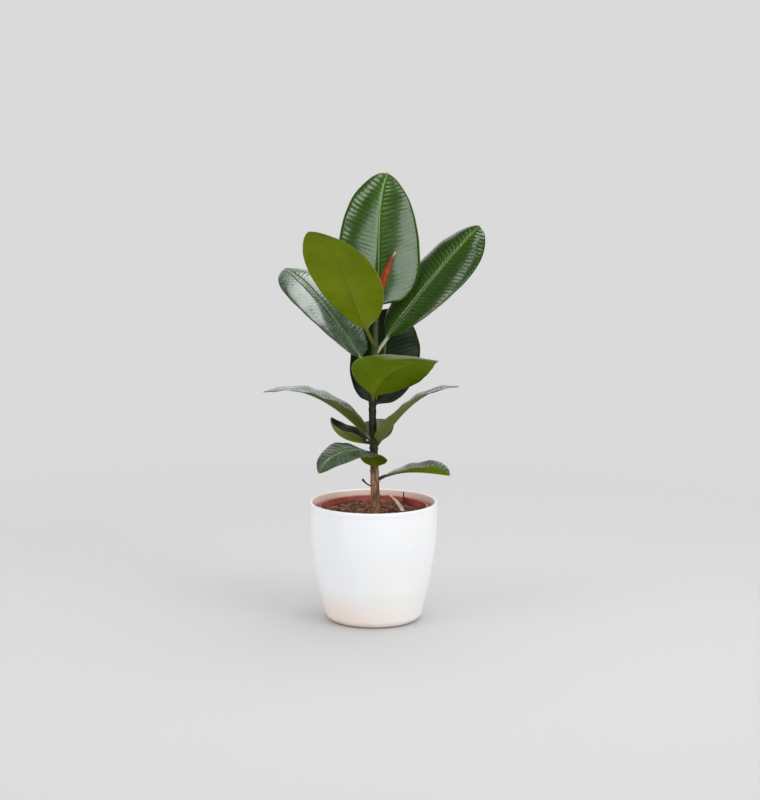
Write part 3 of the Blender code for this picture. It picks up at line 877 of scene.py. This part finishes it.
def glazeMaterial():
    form = cachepotForm
    n = Nodes("whiteGlaze")
    spots = n.coordinates()
    sideways, _, height = n.axes(spots)
    cloud = n.noise(spots, 9, 3)
    smear = n.noise(n.coordinates((1, 1, 0.25)), 26, 3)
    speck = n.noise(spots, 900, 2)
    white = n.mottle(form["glaze"], cloud, 0.3, 0.7)
    white = n.tint(white, form["smear"], smear, 0.5, 0.8, 0.0, 0.35)
    # painted warm reflection of the floor: low on the pot and strongest on its left side
    footReflection = n.math("MULTIPLY", n.ease(height, 0.0, 0.050, 0.75, 0.0),
                  n.ease(sideways, -0.06, 0.04, 1.0, 0.35))
    white = n.blend(footReflection, white, paint(form["warmFootReflection"]))
    white = n.tint(white, form["speck"], speck, 0.7, 0.78, 0.0, 0.25)
    # the wall inside gets a painted pink glow: red light bounced from the red pot close to it
    inside = n.ease(n.length(n.coordinates((1, 1, 0))), 0.0715, 0.0730, 0.85, 0.0)
    inside = n.math("MULTIPLY", inside, n.ease(height, 0.100, 0.110))
    white = n.blend(inside, white, paint(form["insideWallBounce"]))
    relief = n.math("ADD", n.math("MULTIPLY", smear, 0.7), n.math("MULTIPLY", speck, 0.05))
    return n.surface(Base_Color=white, Roughness=n.ease(smear, 0.35, 0.75, 0.30, 0.42),
                     Normal=n.bump(relief, 0.12, 0.0006), Coat_Weight=0.12, Coat_Roughness=0.2,
                     Specular_IOR_Level=0.35)


def makeCachepot():
    form = cachepotForm
    height, wall, lip, bend = form["height"], form["wall"], form["wall"] / 2, form["corner"]
    (_, mouth), (wallFoot, footRadius) = form["outside"][0], form["outside"][-1]
    cornerRadius = footRadius - form["cornerStep"]
    bandFoot, bandRadius = height - form["rimBand"], potRadius(form["bandHeight"])
    outer = smoothWall(np.linspace(bandFoot - form["bandGap"], wallFoot, form["wallRings"]))
    band = [(mouth, height - lip - form["bandUnderLip"]), (bandRadius, bandFoot),
            (bandRadius - form["bandStep"], bandFoot - form["bandBevel"])]
    rim = arcPoints(mouth - lip, height - lip, lip, 0, 180, 13)
    corner = arcPoints(cornerRadius - bend, bend, bend, -5, -85, 12)
    inside = [(radius - wall, level) for radius, level in outer]
    floor = [(cornerRadius - wall - form["floorBend"], bend),
             (form["foot"] + form["floorRise"], form["floor"]),
             (form["foot"] - form["disc"], form["floor"])]
    rings = [(form["foot"], 0), *reversed(corner), *reversed(outer), *reversed(band), *rim, *inside,
             *floor]
    thing = turnedPiece("cachepot_shell", rings, form["sides"])
    workOn(thing)
    bpy.ops.object.shade_smooth_by_angle(angle=math.radians(smoothBelow))
    finishPiece(thing, "cachepot_shell", glazeMaterial(), "cachepot")


makeCachepot()

nurseryForm = {
    "foot": 4.3, "top": 134, "wall": 1.4, "mouth": 62.5, "footRadius": 46, "footBevel": 2,
    "steps": [120, 96, 60, 24], "sides": 160, "floorBend": 0.8, "disc": 20,
    # rolled lip: how far out it stands, its depth, wall, rounding, and bevel at its lower edge
    "lip": 2.5, "lipDepth": 8, "lipWall": 1.2, "lipRound": 0.8, "lipInside": 0.6, "lipBevel": (0.3, 0.4),
    "holes": 6, "holeRadius": 4, "holeCircle": 30, "cutDepth": 8,
    "plastic": ((140, 50, 44), (186, 92, 82)), "ringTone": (190, 112, 102), "grit": (70, 34, 20),
}


def nurseryRadius(height):
    form = nurseryForm
    return form["footRadius"] + (form["mouth"] - form["footRadius"]) * (height - form["foot"]) / (
        form["top"] - form["foot"])


def plasticMaterial():
    form = nurseryForm
    n = Nodes("redBrownPlastic")
    spots = n.coordinates()
    rings = n.noise(n.coordinates((0.12, 0.12, 1)), 260, 2)
    cloud = n.noise(spots, 45, 3)
    grit = n.noise(spots, 380, 4, 0.65)
    red = n.mottle(form["plastic"], cloud, 0.3, 0.7)
    red = n.tint(red, form["ringTone"], rings, 0.4, 0.7, 0.0, 0.35)
    red = n.tint(red, form["grit"], grit, 0.56, 0.7, 0.0, 0.7)
    relief = n.math("ADD", rings, n.math("MULTIPLY", grit, 0.4))
    return n.surface(Base_Color=red, Roughness=n.ease(grit, 0.3, 0.7, 0.42, 0.7), Specular_IOR_Level=0.25,
                     Normal=n.bump(relief, 0.25, 0.0004))


def drillHole(thing, form, turn):
    deselectAll()
    circle = form["holeCircle"] * mm
    bpy.ops.mesh.primitive_cylinder_add(
        vertices=32, radius=form["holeRadius"] * mm, depth=form["cutDepth"] * mm,
        location=(circle * math.cos(turn), circle * math.sin(turn), form["foot"] * mm))
    cutter = bpy.context.object
    workOn(thing)
    cut = thing.modifiers.new("hole", "BOOLEAN")
    cut.object = cutter
    bpy.ops.object.modifier_apply(modifier=cut.name)
    bpy.data.objects.remove(cutter, do_unlink=True)


def makeNurseryPot():
    form = nurseryForm
    foot, top, wall, bevel, bend = [form[key] for key in ("foot", "top", "wall", "footBevel", "lipRound")]
    floor, lipOut, lipFoot = foot + wall, nurseryRadius(top) + form["lip"], top - form["lipDepth"]
    lipIn = lipOut - form["lipWall"]
    bevelIn, bevelUp = form["lipBevel"]
    outer = [(nurseryRadius(h), h) for h in [foot + bevel, *reversed(form["steps"]), top - bevel]]
    lip = [(lipIn, top - bevel), (lipIn, lipFoot), (lipOut - bevelIn, lipFoot),
           (lipOut, lipFoot + bevelUp),
           *arcPoints(lipOut - bend, top - bend, bend, 0, 90, 6),
           *arcPoints(nurseryRadius(top) - form["lipInside"], top - bend, bend, 90, 180, 6)]
    inner = [(nurseryRadius(h) - wall, h) for h in [*form["steps"], floor + form["floorBend"]]]
    rings = [(form["disc"], foot), (form["footRadius"] - bevel, foot), *outer, *lip, *inner,
             (nurseryRadius(floor) - wall - form["floorBend"], floor), (form["disc"], floor)]
    thing = turnedPiece("nursery_pot_shell", rings, form["sides"])
    for number in range(form["holes"]):
        drillHole(thing, form, 2 * math.pi * number / form["holes"])
    bpy.ops.object.shade_smooth_by_angle(angle=math.radians(smoothBelow))
    finishPiece(thing, "nursery_pot_shell", plasticMaterial(), "nursery_pot")


makeNurseryPot()
print("both pots are turned")


soilForm = {
    "top": 126, "edge": 59.7, "footRadius": 44.3, "foot": 6.0, "bump": 2.2, "crumb": 1.1,
    "rings": 58, "sides": 180,
    "dish": 1.2, "dishRadius": 58, "slope": 0.02,      # rise towards the wall, fall towards +X
    "clearEdge": 3.5, "stemPlace": 2.5, "stemRoom": 7.5,    # where loose bits stay away
    "brown": ((92, 54, 38), (160, 104, 80)), "hollowShade": (44, 26, 18), "speck": (168, 128, 104),
}


def soilHeight(x, y):
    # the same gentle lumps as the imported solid, in millimetres
    form = soilForm
    away = math.hypot(x, y) / form["dishRadius"]
    lumps = lumpy(x / 17, y / 17, 0.4) + 0.5 * lumpy(x / 7, y / 7, 2.6)
    return form["top"] + form["bump"] * lumps + form["dish"] * away ** 2 - form["slope"] * x


def crumbs(x, y):
    fine = lumpy(x / 2.6, y / 2.6, 7.7)
    fine += 0.6 * lumpy(x / 1.2, y / 1.2, 3.1)
    cells = noise.voronoi(Vector((x / 3.4, y / 3.4, 1.3)))[0]
    return soilForm["crumb"] * (0.7 * fine + 0.9 * (cells[1] - cells[0]) - 0.4)


def soilMaterial():
    n = Nodes("pottingSoil")
    spots = n.coordinates()
    cloud = n.noise(spots, 90, 4, 0.6)
    grain = n.noise(spots, 420, 5, 0.7)
    speck = n.noise(spots, 900, 2)
    brown = n.mottle(soilForm["brown"], cloud, 0.35, 0.65)
    # painted shade: darker where the fine bump is low, in the hollows between crumbs
    brown = n.tint(brown, soilForm["hollowShade"], grain, 0.42, 0.62, 0.7, 0.0)
    brown = n.tint(brown, soilForm["speck"], speck, 0.66, 0.72, 0.0, 0.8)
    relief = n.math("ADD", grain, n.math("MULTIPLY", speck, 0.3))
    return n.surface(Base_Color=brown, Roughness=0.95, Specular_IOR_Level=0.2,
                     Normal=n.bump(relief, 0.9, 0.0012))


def bitMaterial(bits):
    n = Nodes(bits["look"])
    spots = n.coordinates()
    each = n.noise(spots, bits["fineness"], 2)
    grain = n.noise(spots, 1100, 3)
    tone = n.mottle(bits["tones"], each, 0.35, 0.65)
    tone = n.blend(n.ease(grain, 0.4, 0.7, 0.0, 0.4), tone, paint(bits["tones"][0], 0.6))
    return n.surface(Base_Color=tone, Roughness=0.9, Specular_IOR_Level=0.25,
                     Normal=n.bump(grain, 0.6, 0.0003))


def makeSoil():
    form = soilForm
    radii = np.linspace(form["edge"] - 0.2, 0.6, form["rings"])
    rings = [(form["footRadius"], form["foot"]), (form["edge"], form["top"] - 3),
             *[(float(radius), form["top"]) for radius in radii]]
    thing = turnedPiece("soil_ground", rings, form["sides"])
    for vertex in thing.data.vertices:
        x, y, z = vertex.co / mm
        if z > form["top"] - 0.5:
            rim = smoothStep(0, 2.5, form["edge"] - math.hypot(x, y))
            vertex.co.z = (soilHeight(x, y) + crumbs(x, y) * rim) * mm
    workOn(thing)
    bpy.ops.object.shade_smooth()
    finishPiece(thing, "soil_ground", soilMaterial(), "soil")


def scatter(name, bits):
    # copies of a few small models, each with its own mesh, joined into one piece
    chance = random.Random(bits["seed"])
    models = [bits["model"](chance) for _ in range(bits["kinds"])]
    copies = []
    while len(copies) < bits["copies"]:
        away = (soilForm["edge"] - soilForm["clearEdge"]) * math.sqrt(chance.random())
        turn = chance.uniform(0, 2 * math.pi)
        x, y = away * math.cos(turn), away * math.sin(turn)
        if math.hypot(x - soilForm["stemPlace"], y) < soilForm["stemRoom"]:
            continue
        size = chance.uniform(*bits["sizes"]) * (0.6 + 0.8 * chance.random() ** 2)
        copy = chance.choice(models).copy()
        copy.data = copy.data.copy()
        bpy.context.scene.collection.objects.link(copy)
        copy.scale = (size, size * chance.uniform(0.6, 1.0), size * chance.uniform(0.5, 0.9))
        lean, tip, turn = chance.uniform(-0.5, 0.5), chance.uniform(-0.5, 0.5), chance.uniform(0, 6.28)
        copy.rotation_euler = (lean, tip, turn)
        copy.location = Vector((x, y, soilHeight(x, y) + size * bits["rise"])) * mm
        copies.append(copy)
    for model in models:
        bpy.data.objects.remove(model, do_unlink=True)
    deselectAll()
    for copy in copies:
        copy.select_set(True)
    bpy.context.view_layer.objects.active = copies[0]
    bpy.ops.object.join()
    thing = bpy.context.object
    finishPiece(thing, name, bitMaterial(bits), None)


def chipModel(chance):
    # a crumb about a millimetre across, knocked out of true
    deselectAll()
    bpy.ops.mesh.primitive_ico_sphere_add(subdivisions=1, radius=mm)
    thing = bpy.context.object
    setMode("EDIT")
    bpy.ops.transform.resize(value=(1.25, 0.85, 0.7))
    setMode("OBJECT")
    for vertex in thing.data.vertices:
        vertex.co *= chance.uniform(0.7, 1.25)
    return thing


def fibreModel(chance):
    # a thin bent root thread
    deselectAll()
    bpy.ops.mesh.primitive_cylinder_add(vertices=5, radius=0.1 * mm, depth=5 * mm,
                                        rotation=(0, math.pi / 2, 0))
    thing = bpy.context.object
    bpy.ops.object.transform_apply(rotation=True)
    setMode("EDIT")
    for cut in (-mm, mm):                    # edges for the thread to bend at
        selectAll()
        bpy.ops.mesh.bisect(plane_co=(cut, 0, 0), plane_no=(1, 0, 0))
    setMode("OBJECT")
    lift, swing = chance.uniform(0.4, 1.0), chance.uniform(-1.2, 1.2)
    for vertex in thing.data.vertices:
        share = vertex.co.x / (2.5 * mm)
        vertex.co.z += lift * mm * (0.5 - share ** 2)
        vertex.co.y += swing * mm * share ** 2
    return thing


# loose bits: size against the model's own, rise above the soil as a share of it, patches' fineness
looseBits = {
    "soil_chips": dict(
        model=chipModel, kinds=6, copies=430, sizes=(0.9, 2.6), rise=0.3, seed=11,
        look="barkChips", tones=((66, 40, 28), (182, 130, 104)), fineness=210),
    "soil_pale_bits": dict(
        model=chipModel, kinds=4, copies=80, sizes=(0.5, 1.1), rise=0.6, seed=23,
        look="paleBits", tones=((176, 150, 132), (216, 200, 186)), fineness=300),
    "soil_fibres": dict(
        model=fibreModel, kinds=5, copies=90, sizes=(0.8, 1.7), rise=0.5, seed=37,
        look="rootFibres", tones=((134, 96, 70), (186, 150, 122)), fineness=260),
}

makeSoil()
for name, bits in looseBits.items():
    scatter(name, bits)
print("soil, chips and fibres laid")
